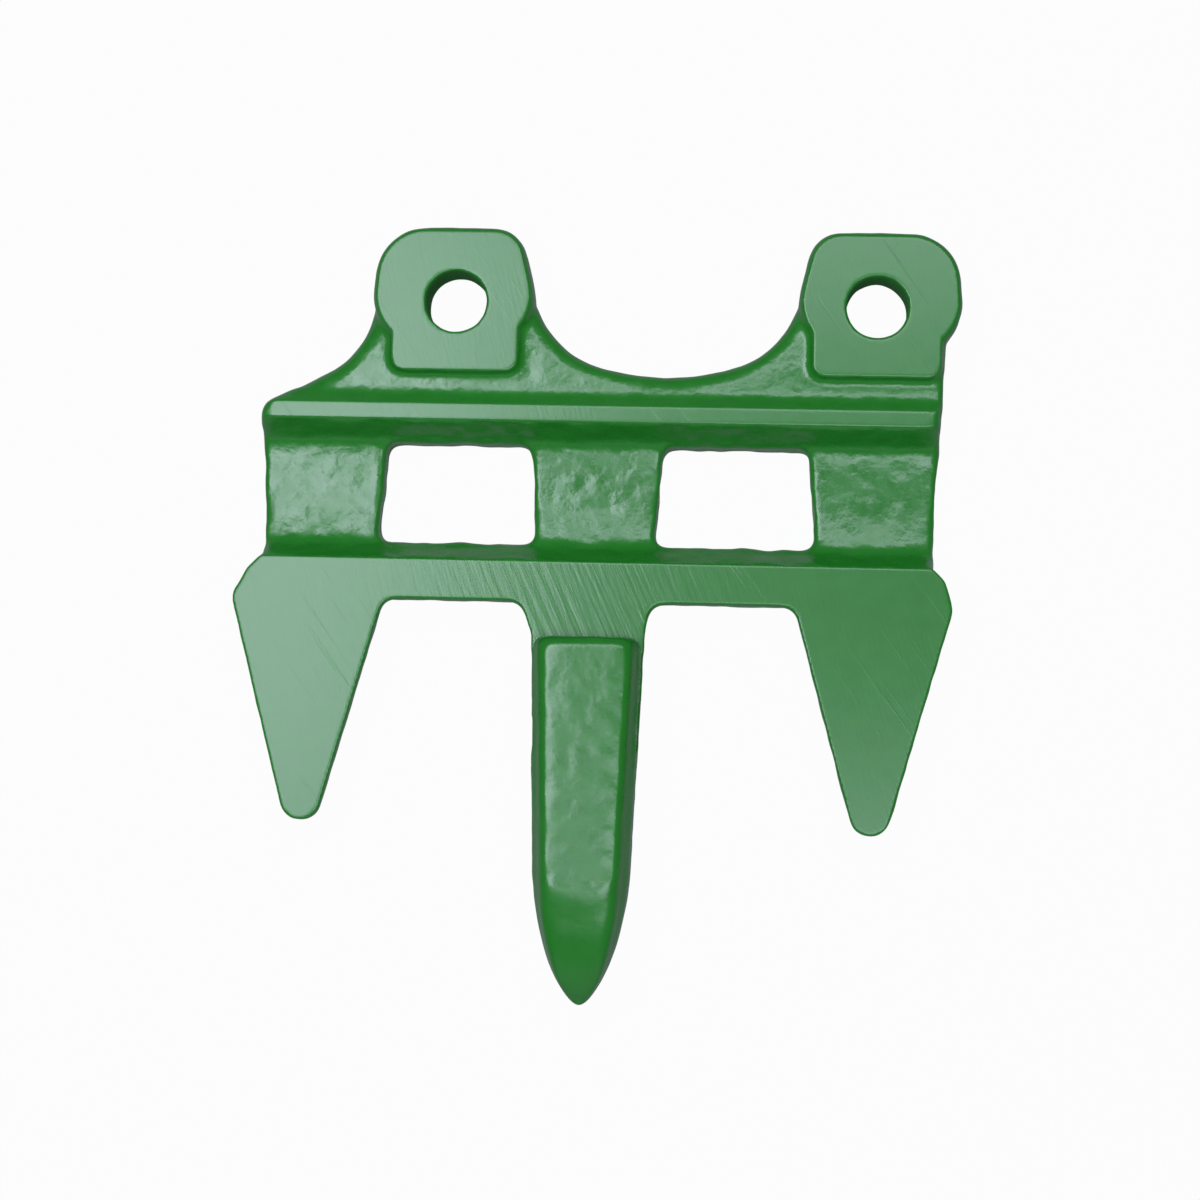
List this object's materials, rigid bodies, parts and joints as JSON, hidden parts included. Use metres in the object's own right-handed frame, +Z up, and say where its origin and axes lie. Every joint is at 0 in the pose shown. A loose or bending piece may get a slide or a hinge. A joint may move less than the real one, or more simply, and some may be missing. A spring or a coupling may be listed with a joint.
{
  "type": "mower knife guard",
  "caption": "Forged double guard for a reciprocating mower knife, with bolt lugs, a windowed knife trough, a ground ledger, short points and a long lipped finger.",
  "frame": {"origin": "midway between the two bolt holes, on the ground plane of the pads, ridge and ledger", "axes": "+X from the left bolt hole to the right one, +Y from the finger to the bolt lugs, +Z up out of the ground faces"},
  "size_m": [0.1959, 0.21, 0.0274],
  "materials": {
    "green_enamel": "glossy green enamel over a forged and partly ground surface"
  },
  "bodies": {
    "root": {"knife_guard": "green_enamel"}
  },
  "joints": []
}
